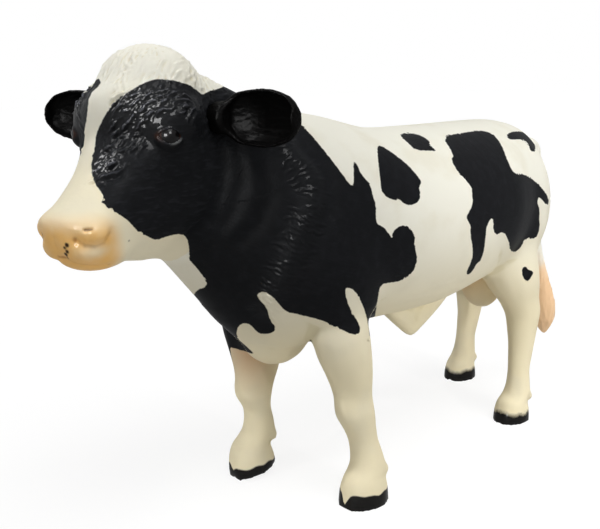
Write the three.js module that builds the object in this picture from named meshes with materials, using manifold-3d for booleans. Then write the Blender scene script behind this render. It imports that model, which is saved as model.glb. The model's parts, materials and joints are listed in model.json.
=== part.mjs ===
// Walking bull figure in painted PVC, about 1:20, made of push-together mouldings.
// Millimetres. The bull faces -Y, its left side is +X and it stands on z = 0.
import * as THREE from "three";
import { mergeVertices } from "three/addons/utils/BufferGeometryUtils.js";
import Module from "manifold-3d";

const wasm = await Module();
wasm.setup();

// Trunk
const CHEST_FRONT = -41;
const RUMP_REAR = 57;
const WITHERS_HEIGHT = 83;
const BACK_HEIGHT = 78.5;
const RUMP_HEIGHT = 78;
const BRISKET_FLOOR = 29;
const BELLY_FLOOR = 33;
const FLANK_FLOOR = 38;
const CHEST_HALF = 20;
const BARREL_HALF = 23.5;
const HIP_HALF = 17;

// Neck and head
const HEAD_X = -6.6;
const HEAD_Y = -49.8;
const HEAD_Z = 79;
const HEAD_TURN = 14;
const NECK_HALF = 12;
const NECK_DROP = 12;
const NECK_CREST = 25;
const NECK_THROAT = 21;
const THROAT_ROUND = { back: 7, front: 11, drop: 8, middle: 16, end: 9 };
const SKULL_LENGTH = 39;
const SKULL_SLOPE = 36;
const SKULL_LIFT = 6;
const BROW_HALF = 13;
const MUZZLE_HALF = 7.2;

// Ears, eyes and tail
const EAR_LENGTH = 20.2;
const EAR_HALF = 5.2;
const EAR_WALL = 0.6;
const EAR_DEPTH = 3.4;
const EAR_LIP = 1.2;
const EAR_COLLAR_RADIUS = 3.2;
const EAR_SWEEP = { left: 0.12, right: 0.2 };
const EAR_RISE = { left: 0, right: 0.04 };
const EAR_TURN_ROOM = 0.6;
const EYE_RADIUS = 2.6;
const TAIL_ROOT_HEIGHT = 69.5;
const TAIL_LENGTH = 56;
const TAIL_RADIUS = 1.9;
const TAIL_HEAD_RADIUS = 3.1;
const TUFT_RADIUS = 3.6;
const TAIL_HEAD_LENGTH = 9;

// Legs: hoof centres on the ground, joint heights and thicknesses
const LEFT_FORE = { x: 17.6, y: -24.3 };
const RIGHT_FORE = { x: -10, y: -33.2 };
const LEFT_HIND = { x: 14, y: 34.5 };
const RIGHT_HIND = { x: -15.5, y: 50 };
const SHOULDER_X = 14.5;
const SHOULDER_Y = -28.2;
const HIP_X = 10.5;
const ELBOW_HEIGHT = 37;
const KNEE_HEIGHT = 20;
const GASKIN_HEIGHT = 39;
const HOCK_HEIGHT = 27;
const FETLOCK_HEIGHT = 7.8;
const KNEE_INSET = 1.4;
const CANNON_HALF = 3.1;
const HEEL_LIFT = 12;
const HOOF_HALF = 4.9;
const HOOF_LENGTH = 11.5;
const HOOF_HEIGHT = 5.6;
const HIND_FOOT = 0.87;
const DEWCLAW_RADIUS = 1.2;

// Joints between mouldings
const SEAM_GAP = 0.3;
const LEG_PLUG_RADIUS = 3.2;
const LEG_PLUG_DEPTH = 9;
const HEAD_PLUG_RADIUS = 5;
const HEAD_PLUG_DEPTH = 10;
const PLUG_ROOT = 4;
const EAR_PLUG_RADIUS = 2;
const EAR_PLUG_DEPTH = 5;
const TAIL_PLUG_RADIUS = 2;
const TAIL_PLUG_DEPTH = 8;

// Mesh fineness
const STEPS = 2;
const ROUND_SIDES = 16;
const TRUNK_SIDES = 32;
const SKULL_SIDES = 20;
const LIMB_SIDES = 12;
const WELD = 1e-4;
const CUTTER = 130;

const LEFTWARD = new THREE.Vector3(1, 0, 0);
const FORWARD = new THREE.Vector3(0, -1, 0);
const UPWARD = new THREE.Vector3(0, 0, 1);
const DOWNWARD = new THREE.Vector3(0, 0, -1);
const radians = THREE.MathUtils.degToRad;
const between = THREE.MathUtils.lerp;
const at = (x, y, z) => new THREE.Vector3(x, y, z);

// The part of a direction that stands square to a run
function squareTo(run, direction) {
  return direction.clone().addScaledVector(run, -run.dot(direction)).normalize();
}

// Any closed geometry as a solid for adding and cutting
function solid(geometry) {
  const bare = new THREE.BufferGeometry();
  bare.setAttribute("position", geometry.getAttribute("position"));
  bare.setIndex(geometry.index);
  const joined = mergeVertices(bare, WELD);
  const mesh = new wasm.Mesh({
    numProp: 3,
    vertProperties: joined.getAttribute("position").array,
    triVerts: new Uint32Array(joined.index.array),
  });
  return new wasm.Manifold(mesh);
}

// A closed skin through stations. A station has a centre and its reach sideways, up and down;
// smooth curves give the rings in between. Without an up direction the rings follow the curve.
function loft(stations, { side, up, around = ROUND_SIDES, grow = 0 }) {
  const centres = new THREE.CatmullRomCurve3(stations.map((station) => station.centre));
  const reaches = stations.map(({ half, top, bottom }) => at(half + grow, top + grow, bottom + grow));
  const sizes = new THREE.CatmullRomCurve3(reaches);
  const rings = (stations.length - 1) * STEPS + 2;
  const skin = new THREE.SphereGeometry(1, around, rings);
  const points = skin.getAttribute("position");
  for (let i = 0; i < points.count; i += 1) {
    const row = Math.floor(i / (around + 1));
    const share = THREE.MathUtils.clamp((row - 1) / (rings - 2), 0, 1);
    const centre = centres.getPoint(share);
    const run = centres.getTangent(share);
    const lift = up ?? run.clone().cross(side).normalize();
    const turn = -Math.sign(side.clone().cross(lift).dot(run));
    const angle = (turn * 2 * Math.PI * (i % (around + 1))) / around;
    const isPole = row === 0 || row === rings;
    const size = sizes.getPoint(share).multiplyScalar(isPole ? 0 : 1);
    const rise = Math.sin(angle);
    centre.addScaledVector(side, size.x * Math.cos(angle));
    centre.addScaledVector(lift, (rise > 0 ? size.y : size.z) * rise);
    const end = share === 0 ? -1 : share === 1 ? 1 : 0;
    centre.addScaledVector(run, end * grow);
    points.setXYZ(i, centre.x, centre.y, centre.z);
  }
  return skin;
}

function egg(centre, across, along, tall, grow = 0) {
  const skin = new THREE.SphereGeometry(1, ROUND_SIDES, ROUND_SIDES / 2);
  skin.scale(across + grow, along + grow, tall + grow);
  skin.translate(centre.x, centre.y, centre.z);
  return skin;
}

function peg(from, to, radius) {
  const run = to.clone().sub(from);
  const skin = new THREE.CylinderGeometry(radius, radius, run.length(), ROUND_SIDES);
  skin.applyQuaternion(new THREE.Quaternion().setFromUnitVectors(at(0, 1, 0), run.clone().normalize()));
  const middle = from.clone().add(to).multiplyScalar(0.5);
  skin.translate(middle.x, middle.y, middle.z);
  return skin;
}

// A large block whose face passes through a point, filling the side the direction points to
function beyond(point, direction) {
  const block = new THREE.BoxGeometry(CUTTER, CUTTER, CUTTER);
  block.translate(0, 0, CUTTER / 2);
  block.applyQuaternion(new THREE.Quaternion().setFromUnitVectors(UPWARD, direction));
  block.translate(point.x, point.y, point.z);
  return solid(block);
}

function union(geometries) {
  return wasm.Manifold.union(geometries.map(solid));
}

// Head frame: stands at the neck, turned to the bull's left
const headFrame = new THREE.Matrix4().makeRotationZ(radians(HEAD_TURN));
headFrame.setPosition(HEAD_X, HEAD_Y, HEAD_Z);
const onHead = (geometry) => geometry.applyMatrix4(headFrame);
const headPoint = (x, y, z) => at(x, y, z).applyMatrix4(headFrame);

// Trunk and neck as one form, from rump to throat
const trunkRows = [
  { along: 1, top: RUMP_HEIGHT - 14, bottom: FLANK_FLOOR + 14, half: HIP_HALF * 0.22 },
  { along: 0.975, top: RUMP_HEIGHT - 7, bottom: FLANK_FLOOR + 7, half: HIP_HALF * 0.5 },
  { along: 0.91, top: RUMP_HEIGHT - 2, bottom: FLANK_FLOOR + 2, half: HIP_HALF * 0.8 },
  { along: 0.81, top: RUMP_HEIGHT, bottom: FLANK_FLOOR, half: HIP_HALF },
  { along: 0.67, top: RUMP_HEIGHT, bottom: FLANK_FLOOR - 1, half: BARREL_HALF * 0.94 },
  { along: 0.5, top: BACK_HEIGHT - 0.5, bottom: BELLY_FLOOR + 1.5, half: BARREL_HALF },
  { along: 0.34, top: BACK_HEIGHT, bottom: BELLY_FLOOR + 2, half: BARREL_HALF },
  { along: 0.2, top: WITHERS_HEIGHT - 1, bottom: BRISKET_FLOOR + 6, half: CHEST_HALF * 1.08 },
  { along: 0.09, top: WITHERS_HEIGHT + 1, bottom: BRISKET_FLOOR + 4, half: CHEST_HALF },
  { along: 0, top: WITHERS_HEIGHT + 4, bottom: BRISKET_FLOOR + 6, half: CHEST_HALF * 0.81 },
];
const WIDEST_SHARE = 0.52;
const trunkStations = trunkRows.map(({ along, top, bottom, half }) => {
  const middle = between(bottom, top, WIDEST_SHARE);
  const centre = at(0, between(CHEST_FRONT, RUMP_REAR, along), middle);
  return { centre, half, top: top - middle, bottom: middle - bottom };
});
const neckStations = [
  {
    centre: at(HEAD_X * 0.5, HEAD_Y, HEAD_Z - NECK_DROP),
    half: NECK_HALF,
    top: NECK_CREST,
    bottom: NECK_THROAT,
  },
  {
    centre: headPoint(0, -THROAT_ROUND.back, -THROAT_ROUND.drop),
    half: NECK_HALF * 0.75,
    top: THROAT_ROUND.middle,
    bottom: THROAT_ROUND.middle,
  },
  {
    centre: headPoint(0, -THROAT_ROUND.front, -THROAT_ROUND.drop),
    half: NECK_HALF * 0.4,
    top: THROAT_ROUND.end,
    bottom: THROAT_ROUND.end,
  },
];
const SHOULDER = { across: 7, along: 13, tall: 17 };
const HAUNCH = { across: 8.5, along: 13, tall: 17 };
const BRISKET = { across: 6.5, along: 9, tall: 9 };
const SCROTUM = { across: 5.8, along: 5.5, tall: 8 };
const GROIN = { across: 10, along: 11, tall: 8, sink: 3 };
const SHEATH_ROOT = { across: 2.2, along: 6, tall: 4.2 };
function trunkForms(grow) {
  const barrel = { side: LEFTWARD, up: UPWARD, around: TRUNK_SIDES, grow };
  const forms = [loft([...trunkStations, ...neckStations], barrel)];
  for (const hand of [1, -1]) {
    const shoulder = at(hand * (CHEST_HALF - 5.5), CHEST_FRONT + 14, ELBOW_HEIGHT + SHOULDER.tall + 0.5);
    forms.push(egg(shoulder, SHOULDER.across, SHOULDER.along, SHOULDER.tall, grow));
    const haunch = at(hand * (HIP_HALF - 7.8), RUMP_REAR - 18.5, GASKIN_HEIGHT + HAUNCH.tall + 0.5);
    forms.push(egg(haunch, HAUNCH.across, HAUNCH.along, HAUNCH.tall, grow));
  }
  const groin = at(0, RUMP_REAR - 16, GASKIN_HEIGHT + GROIN.tall - GROIN.sink);
  forms.push(egg(groin, GROIN.across, GROIN.along, GROIN.tall, grow));
  const brisket = at(0, CHEST_FRONT + 8, BRISKET_FLOOR + BRISKET.tall);
  forms.push(egg(brisket, BRISKET.across, BRISKET.along, BRISKET.tall, grow));
  const sheath = [
    { centre: at(0, 26.5, BELLY_FLOOR + 6), half: 3, top: 2, bottom: 2.5 },
    { centre: at(0, 17, BELLY_FLOOR + 1), half: 4.2, top: 3, bottom: 3.4 },
    { centre: at(0, 12.5, BELLY_FLOOR - 2), half: 3.2, top: 4, bottom: 4 },
    { centre: at(0, 10.2, BELLY_FLOOR - 4.5), half: 1.8, top: 4, bottom: 3.3 },
    { centre: at(0, 7, BELLY_FLOOR - 2.5), half: 2.6, top: 4, bottom: 2.9 },
    { centre: at(0, 0.5, BELLY_FLOOR + 2.5), half: 2.6, top: 2, bottom: 2 },
  ];
  forms.push(loft(sheath, { side: LEFTWARD, up: UPWARD, grow }));
  forms.push(egg(at(0, 10, BELLY_FLOOR), SHEATH_ROOT.across, SHEATH_ROOT.along, SHEATH_ROOT.tall, grow));
  const scrotum = at(0, RUMP_REAR - 18, FLANK_FLOOR - 3);
  forms.push(egg(scrotum, SCROTUM.across, SCROTUM.along, SCROTUM.tall, grow));
  return union(forms);
}

// Skull along its sloping axis from the back of the head to the nose
const skullRun = at(0, -Math.cos(radians(SKULL_SLOPE)), -Math.sin(radians(SKULL_SLOPE)));
const skullUp = at(0, -Math.sin(radians(SKULL_SLOPE)), Math.cos(radians(SKULL_SLOPE)));
const SKULL_BACK = at(0, 0, SKULL_LIFT);
const skullRows = [
  { along: -0.06, half: BROW_HALF * 0.6, top: 8, bottom: 10 },
  { along: 0.07, half: BROW_HALF * 0.96, top: 13, bottom: 15 },
  { along: 0.27, half: BROW_HALF, top: 11.5, bottom: 20 },
  { along: 0.37, half: BROW_HALF, top: 10, bottom: 20 },
  { along: 0.47, half: BROW_HALF * 0.92, top: 8.3, bottom: 21.5 },
  { along: 0.66, half: MUZZLE_HALF * 1.2, top: 6, bottom: 17 },
  { along: 0.82, half: MUZZLE_HALF, top: 5.5, bottom: 10.5 },
  { along: 0.94, half: MUZZLE_HALF * 0.9, top: 5, bottom: 6.5 },
  { along: 1, half: MUZZLE_HALF * 0.55, top: 2.5, bottom: 3.5 },
];
const skullStations = skullRows.map(({ along, half, top, bottom }) => {
  const centre = SKULL_BACK.clone().addScaledVector(skullRun, along * SKULL_LENGTH);
  return { centre, half, top, bottom };
});
const EYE_PLACE = { x: BROW_HALF - 2.2, y: -15.1, z: 1.5 };
const BROW = { across: BROW_HALF + 2, along: 8, tall: 8.5 };
const POLL = { across: BROW_HALF - 1.2, along: 7.5, tall: 8.5 };
const NOSTRIL = { across: 2.4, along: 2.6, tall: 2.4 };
const UPPER_LIP = { across: 3.4, along: 3.2, tall: 2.6 };
function headForms() {
  const forms = [loft(skullStations, { side: LEFTWARD, up: skullUp, around: SKULL_SIDES })];
  forms.push(egg(at(0, -8.7, 9.5), POLL.across, POLL.along, POLL.tall));
  forms.push(egg(at(0, -12, 4), BROW.across, BROW.along, BROW.tall));
  forms.push(egg(at(0, -28.5, -14.2), MUZZLE_HALF + 0.6, 5, 5));
  forms.push(egg(at(0, -24.4, -17.6), MUZZLE_HALF - 0.6, 8, 4.4));
  for (const hand of [1, -1]) {
    forms.push(egg(at(hand * (BROW_HALF - 7.6), -8.5, -8), 7.2, 11, 12));
    forms.push(egg(at(hand * (MUZZLE_HALF - 1), -29, -13.8), NOSTRIL.across, NOSTRIL.along, NOSTRIL.tall));
    const lip = at(hand * (MUZZLE_HALF - 3.8), -29.4, -17);
    forms.push(egg(lip, UPPER_LIP.across, UPPER_LIP.along, UPPER_LIP.tall));
  }
  return union(forms.map(onHead));
}

// Legs: a bone line from hip to hoof, thickness by height, a hoof with a cleft and two dewclaws.
// The pastern is how far the fetlock stands behind the middle of the hoof.
function pointAtHeight(line, height) {
  const lower = Math.max(1, line.findIndex((joint) => joint.z <= height));
  const above = line[lower - 1];
  const below = line[lower];
  return above.clone().lerp(below, (above.z - height) / (above.z - below.z));
}

function hoofForm(frame) {
  const front = HOOF_LENGTH * 0.54;
  const rear = HOOF_LENGTH * 0.46;
  const rows = [
    { z: 0, half: HOOF_HALF, top: front, bottom: rear },
    { z: HOOF_HEIGHT * 0.5, half: HOOF_HALF * 0.98, top: front * 0.9, bottom: rear * 0.96 },
    { z: HOOF_HEIGHT, half: HOOF_HALF * 0.86, top: front * 0.7, bottom: rear * 0.86 },
    { z: HOOF_HEIGHT * 1.2, half: HOOF_HALF * 0.6, top: front * 0.45, bottom: rear * 0.6 },
  ];
  const stations = rows.map(({ z, half, top, bottom }) => ({ centre: at(0, 0, z), half, top, bottom }));
  const horn = solid(loft(stations, { side: LEFTWARD, up: FORWARD }));
  const slot = new THREE.BoxGeometry(HOOF_HALF * 0.2, HOOF_LENGTH * 0.4, HOOF_HEIGHT * 0.8);
  slot.translate(0, -front * 0.95, HOOF_HEIGHT * 0.3);
  return horn.subtract(solid(slot)).transform(frame.toArray());
}

// A lifted heel turns the hoof about the tip of its toe. The foot is its size against a forefoot.
function hoofFrame(hoof, lift, foot) {
  const toe = HOOF_LENGTH * 0.54;
  const frame = new THREE.Matrix4().makeTranslation(hoof.x, hoof.y - toe, 0);
  frame.multiply(new THREE.Matrix4().makeRotationX(radians(lift)));
  frame.multiply(new THREE.Matrix4().makeTranslation(0, toe, 0));
  return frame.multiply(new THREE.Matrix4().makeScale(foot, foot, foot));
}

function legForm({ hoof, lift, foot, pastern, line, rows }) {
  const frame = hoofFrame(hoof, lift, foot);
  const cannonHalf = CANNON_HALF * foot;
  const coronet = at(0, 0, HOOF_HEIGHT).applyMatrix4(frame);
  const fetlock = at(0, pastern, FETLOCK_HEIGHT).applyMatrix4(frame);
  const core = at(0, 0, HOOF_HEIGHT * 0.4).applyMatrix4(frame);
  const bones = [...line, fetlock, coronet, core];
  const cannon = [
    { z: fetlock.z + 6, half: cannonHalf, top: cannonHalf * 0.9, bottom: cannonHalf * 1.1 },
    { z: fetlock.z, half: cannonHalf * 1.25, top: cannonHalf * 1.1, bottom: cannonHalf * 1.35 },
    { z: coronet.z, half: cannonHalf * 1.3, top: cannonHalf * 1.35, bottom: cannonHalf * 1.3 },
    { z: core.z, half: cannonHalf * 0.8, top: cannonHalf * 0.8, bottom: cannonHalf * 0.8 },
  ];
  const stations = [...rows, ...cannon].map((row) => ({ ...row, centre: pointAtHeight(bones, row.z) }));
  const limb = solid(loft(stations, { side: LEFTWARD, up: FORWARD, around: LIMB_SIDES }));
  const forms = [limb, hoofForm(frame)];
  for (const hand of [1, -1]) {
    const dewclaw = fetlock.clone().add(at(hand * cannonHalf * 0.62, cannonHalf * 0.95, -DEWCLAW_RADIUS));
    forms.push(solid(egg(dewclaw, DEWCLAW_RADIUS, DEWCLAW_RADIUS, DEWCLAW_RADIUS)));
  }
  return wasm.Manifold.union(forms);
}

const foreRows = (forearmRear) => [
  { z: ELBOW_HEIGHT + 12, half: 3.5, top: 5, bottom: 4 },
  { z: ELBOW_HEIGHT, half: 6, top: 7, bottom: forearmRear + 1 },
  { z: between(ELBOW_HEIGHT, KNEE_HEIGHT, 0.5), half: 5, top: 5, bottom: forearmRear },
  {
    z: between(ELBOW_HEIGHT, KNEE_HEIGHT, 0.78),
    half: CANNON_HALF * 1.26,
    top: CANNON_HALF * 1.4,
    bottom: forearmRear * 0.8,
  },
  { z: KNEE_HEIGHT, half: CANNON_HALF * 1.3, top: CANNON_HALF * 1.45, bottom: CANNON_HALF * 1.15 },
];
const hindRows = [
  { z: GASKIN_HEIGHT + 13, half: 5, top: 9, bottom: 7 },
  { z: GASKIN_HEIGHT, half: 7, top: 9, bottom: 7.5 },
  { z: between(GASKIN_HEIGHT, HOCK_HEIGHT, 0.6), half: 5, top: 5.6, bottom: 6 },
  { z: HOCK_HEIGHT, half: CANNON_HALF * 1.36, top: CANNON_HALF * 1.3, bottom: CANNON_HALF * 1.6 },
];
const foreLine = (hoof, hand, knee) => [
  at(hand * SHOULDER_X, between(hoof.y, SHOULDER_Y, 0.7), ELBOW_HEIGHT + 12),
  at(hand * SHOULDER_X, between(hoof.y, SHOULDER_Y, 0.7), ELBOW_HEIGHT),
  at(hoof.x - hand * KNEE_INSET, hoof.y + knee, KNEE_HEIGHT),
];
const hindLine = (hoof, hand, hock) => [
  at(hand * HIP_X, RUMP_REAR - 20, GASKIN_HEIGHT + 13),
  at(hand * HIP_X, RUMP_REAR - 19.5, GASKIN_HEIGHT),
  at(hoof.x - hand * KNEE_INSET, hoof.y + hock, HOCK_HEIGHT),
];
const legs = [
  {
    name: "left_foreleg",
    hoof: LEFT_FORE,
    lift: 0,
    foot: 1,
    pastern: 0.9,
    rows: foreRows(4.7),
    line: foreLine(LEFT_FORE, 1, -0.5),
  },
  {
    name: "right_foreleg",
    hoof: RIGHT_FORE,
    lift: HEEL_LIFT,
    foot: 1,
    pastern: 3.2,
    rows: foreRows(8),
    line: foreLine(RIGHT_FORE, -1, 0.2),
  },
  {
    name: "left_hind_leg",
    hoof: LEFT_HIND,
    lift: 0,
    foot: HIND_FOOT,
    pastern: 2.2,
    rows: hindRows,
    line: hindLine(LEFT_HIND, 1, 5.4),
  },
  {
    name: "right_hind_leg",
    hoof: RIGHT_HIND,
    lift: 0,
    foot: HIND_FOOT,
    pastern: 1.4,
    rows: hindRows,
    line: hindLine(RIGHT_HIND, -1, 2.4),
  },
];

// Ear cup on a round stalk that plugs into the side of the head
const EAR_SEAT = 0.12;
const EAR_ROOT = { x: BROW_HALF - 3, y: -3, z: 4 };
function earRun(hand) {
  const word = hand > 0 ? "left" : "right";
  return at(hand, -EAR_SWEEP[word], EAR_RISE[word]).normalize();
}
function earAlong(hand, share) {
  return at(hand * EAR_ROOT.x, EAR_ROOT.y, EAR_ROOT.z).addScaledVector(earRun(hand), share * EAR_LENGTH);
}
function earForm(hand) {
  const collar = { half: EAR_COLLAR_RADIUS, top: EAR_COLLAR_RADIUS, bottom: EAR_COLLAR_RADIUS };
  const leaf = (share, width, depth) => ({
    share,
    half: EAR_HALF * width,
    top: EAR_LIP,
    bottom: EAR_DEPTH * depth,
  });
  const cup = [
    { share: EAR_SEAT, ...collar },
    { share: 0.26, ...collar },
    leaf(0.36, 0.9, 0.9),
    leaf(0.56, 1, 1),
    leaf(0.8, 1, 1),
    leaf(1, 0.78, 0.8),
    leaf(1.1, 0.4, 0.45),
  ];
  const inside = (share, width, depth) => ({
    share,
    half: EAR_HALF * width - EAR_WALL,
    top: EAR_DEPTH + EAR_LIP,
    bottom: EAR_DEPTH * depth - EAR_WALL,
  });
  const hollow = [
    inside(0.3, 0.42, 0.24),
    inside(0.37, 0.78, 0.5),
    inside(0.45, 0.95, 0.78),
    inside(0.6, 1, 1),
    inside(0.8, 1, 0.96),
    inside(0.99, 0.8, 0.78),
    inside(1.07, 0.5, 0.45),
  ];
  const placed = (rows) => rows.map((row) => ({ ...row, centre: earAlong(hand, row.share) }));
  const frame = { side: squareTo(earRun(hand), UPWARD), up: squareTo(earRun(hand), FORWARD) };
  const body = solid(onHead(loft(placed(cup), frame)));
  return body.subtract(solid(onHead(loft(placed(hollow), frame))));
}
function earPlug(hand, spare = 0) {
  const inner = earAlong(hand, EAR_SEAT).addScaledVector(earRun(hand), -EAR_PLUG_DEPTH - spare);
  return solid(onHead(peg(inner, earAlong(hand, 0.3), EAR_PLUG_RADIUS + spare)));
}
// Room for the ear to turn: a round seat for the collar and a wider round for the cup
function earRoom(hand) {
  const floor = earAlong(hand, EAR_SEAT).addScaledVector(earRun(hand), -SEAM_GAP);
  const seat = peg(floor, earAlong(hand, 1), EAR_COLLAR_RADIUS + SEAM_GAP);
  const sweep = peg(earAlong(hand, 0.3), earAlong(hand, 1.3), EAR_HALF + EAR_TURN_ROOM);
  return union([seat, sweep].map(onHead));
}

// Snap-in eye bead
function eyeForm(hand, grow = 0) {
  const radius = EYE_RADIUS + grow;
  return solid(onHead(egg(at(hand * EYE_PLACE.x, EYE_PLACE.y, EYE_PLACE.z), radius, radius, radius)));
}

// Tail: leaves the rump backwards, hangs down and ends in a tuft
const tailRoot = at(0, RUMP_REAR + 1, TAIL_ROOT_HEIGHT);
const tailRows = [
  { x: 0, y: 0, drop: 0, radius: TAIL_RADIUS * 1.35 },
  { x: 0, y: 1, drop: 0, radius: TAIL_RADIUS * 1.35 },
  { x: 0.1, y: 2.6, drop: 0.03, radius: TAIL_RADIUS * 1.3 },
  { x: 0.4, y: 3.4, drop: 0.11, radius: TAIL_RADIUS * 1.15 },
  { x: 0.9, y: 3.2, drop: 0.25, radius: TAIL_RADIUS },
  { x: 1.5, y: 3, drop: 0.44, radius: TAIL_RADIUS * 0.95 },
  { x: 1.8, y: 4, drop: 0.57, radius: TAIL_RADIUS * 1.05 },
  { x: 2, y: 6, drop: 0.7, radius: TUFT_RADIUS * 0.72 },
  { x: 2, y: 7.9, drop: 0.83, radius: TUFT_RADIUS },
  { x: 2, y: 8.7, drop: 0.92, radius: TUFT_RADIUS * 0.86 },
  { x: 2, y: 9, drop: 1, radius: TUFT_RADIUS * 0.2 },
];
const tailStations = tailRows.map(({ x, y, drop, radius }) => {
  const centre = tailRoot.clone().add(at(x, y, -drop * TAIL_LENGTH));
  return { centre, half: radius, top: radius, bottom: radius };
});
const tailHead = peg(
  tailRoot.clone().add(at(0, -TAIL_HEAD_LENGTH, 0)),
  tailRoot.clone().add(at(0, -SEAM_GAP, 0)),
  TAIL_HEAD_RADIUS,
);
function tailPlug(spare = 0) {
  const inner = tailRoot.clone().add(at(0, -TAIL_PLUG_DEPTH - spare, 0));
  return solid(peg(inner, tailRoot.clone().add(at(0, 1, 0)), TAIL_PLUG_RADIUS + spare));
}

// Seams: flat cuts through the whole figure, each bridged by a plug
const neckAxis = at(Math.sin(radians(HEAD_TURN / 2)), -1, 0.45).normalize();
const neckSeam = headPoint(0, 1, -4);
const neckPlug = (spare = 0) => {
  const inner = neckSeam.clone().addScaledVector(neckAxis, -HEAD_PLUG_DEPTH - spare);
  const outer = neckSeam.clone().addScaledVector(neckAxis, PLUG_ROOT);
  return solid(peg(inner, outer, HEAD_PLUG_RADIUS + spare));
};

function legSeam({ line }) {
  return line[1].clone();
}
function legPlug(leg, spare = 0) {
  const seam = legSeam(leg);
  const inner = seam.clone().add(at(0, 0, LEG_PLUG_DEPTH + spare));
  return solid(peg(seam.clone().add(at(0, 0, -PLUG_ROOT)), inner, LEG_PLUG_RADIUS + spare));
}

const trunk = trunkForms(0);
const trunkCutter = trunkForms(SEAM_GAP);
const skull = headForms();
const headSide = beyond(neckSeam.clone().addScaledVector(neckAxis, SEAM_GAP), neckAxis);

let torso = trunk.add(skull).subtract(beyond(neckSeam, neckAxis)).subtract(neckPlug(SEAM_GAP));
let head = trunk.add(skull).intersect(headSide).add(neckPlug());
const pieces = [];
for (const leg of legs) {
  const form = legForm(leg);
  const seam = legSeam(leg);
  const below = beyond(seam.clone().add(at(0, 0, -SEAM_GAP)), DOWNWARD);
  const lower = form.intersect(below).subtract(trunkCutter).add(legPlug(leg));
  torso = torso.add(form.subtract(beyond(seam, DOWNWARD)));
  pieces.push([leg.name, lower, leg]);
}
for (const leg of legs) {
  torso = torso.subtract(legPlug(leg, SEAM_GAP));
}

const tail = solid(loft(tailStations, { side: LEFTWARD, around: LIMB_SIDES })).add(tailPlug());
torso = torso.add(solid(tailHead)).subtract(tailPlug(SEAM_GAP));
for (const [hand, word] of [[1, "left"], [-1, "right"]]) {
  head = head.subtract(earPlug(hand, SEAM_GAP)).subtract(earRoom(hand)).subtract(eyeForm(hand, SEAM_GAP));
  torso = torso.subtract(earRoom(hand));
  pieces.push([`${word}_ear`, earForm(hand).add(earPlug(hand))]);
  pieces.push([`${word}_eye`, eyeForm(hand)]);
}
pieces.push(["torso", torso], ["head", head], ["tail", tail]);

const COLOURS = { ear: 0x17130f, eye: 0x2a1408, other: 0xe9e4d8 };
const figure = new THREE.Group();
for (const [name, form] of pieces) {
  const { vertProperties, triVerts } = form.getMesh();
  const geometry = new THREE.BufferGeometry();
  geometry.setAttribute("position", new THREE.BufferAttribute(vertProperties, 3));
  geometry.setIndex(new THREE.BufferAttribute(triVerts, 1));
  geometry.computeVertexNormals();
  const colour = COLOURS[name.split("_")[1]] ?? COLOURS.other;
  const piece = new THREE.Mesh(geometry, new THREE.MeshStandardMaterial({ color: colour, roughness: 0.5 }));
  piece.name = name;
  figure.add(piece);
}

// The frame stands on the ground under the middle of the figure
const box = new THREE.Box3().setFromObject(figure);
const middle = box.getCenter(new THREE.Vector3());
for (const piece of figure.children) {
  piece.geometry.translate(-middle.x, -middle.y, -box.min.z);
}

export default figure;
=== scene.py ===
import json
import math

import bmesh
import bpy
import numpy as np
from mathutils import Matrix, Quaternion, Vector
from mathutils.bvhtree import BVHTree


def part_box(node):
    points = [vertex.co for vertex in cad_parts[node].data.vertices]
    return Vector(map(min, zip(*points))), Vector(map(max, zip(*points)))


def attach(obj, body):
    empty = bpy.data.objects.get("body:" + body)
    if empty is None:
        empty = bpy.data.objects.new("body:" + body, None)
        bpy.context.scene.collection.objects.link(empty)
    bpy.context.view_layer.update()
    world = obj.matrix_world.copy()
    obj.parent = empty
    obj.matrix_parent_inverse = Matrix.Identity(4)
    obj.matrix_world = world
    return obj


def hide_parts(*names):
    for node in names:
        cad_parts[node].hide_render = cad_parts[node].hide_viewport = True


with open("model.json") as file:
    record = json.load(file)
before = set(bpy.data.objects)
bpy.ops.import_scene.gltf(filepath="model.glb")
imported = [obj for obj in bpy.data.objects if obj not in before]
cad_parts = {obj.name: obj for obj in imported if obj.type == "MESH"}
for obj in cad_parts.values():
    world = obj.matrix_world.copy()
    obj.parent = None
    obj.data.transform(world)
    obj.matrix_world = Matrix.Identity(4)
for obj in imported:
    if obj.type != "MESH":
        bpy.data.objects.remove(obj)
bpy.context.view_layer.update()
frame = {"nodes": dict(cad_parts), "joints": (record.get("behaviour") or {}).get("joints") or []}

# Viewpoint
# A hand-held close-up from the bull's left front, a little above its back.
# The coat's patches are laid out in this view, in pixels of the whole picture.
MM = 0.001
PICTURE = (600, 529)
FOCAL_PIXELS = 829.3
SENSOR = 36.0
VIEW_FROM = np.array([135.17, -140.63, 89.92])
VIEW_AZIMUTH = 49.634
VIEW_ELEVATION = 12.715
VIEW_ROLL = -1.74
TAIL_SEAT = 58.0
tail_joint = next(joint for joint in frame["joints"] if joint["name"] == "tail_swing")
figure_origin = np.array([tail_joint["pos_m"][0], tail_joint["pos_m"][1] - TAIL_SEAT * MM, 0.0])


def view_camera():
    data = bpy.data.cameras.new("view")
    data.sensor_width = SENSOR
    data.lens = FOCAL_PIXELS / PICTURE[0] * SENSOR
    data.clip_start = MM
    camera = bpy.data.objects.new("view", data)
    bpy.context.scene.collection.objects.link(camera)
    azimuth = math.radians(VIEW_AZIMUTH)
    elevation = math.radians(VIEW_ELEVATION)
    level = math.cos(elevation)
    back = Vector((math.sin(azimuth) * level, -math.cos(azimuth) * level, math.sin(elevation)))
    turn = back.to_track_quat("Z", "Y") @ Quaternion((0, 0, 1), math.radians(VIEW_ROLL))
    camera.matrix_world = Matrix.LocRotScale(Vector(VIEW_FROM * MM + figure_origin), turn, None)
    bpy.context.scene.camera = camera
    return camera


camera = view_camera()

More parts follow.
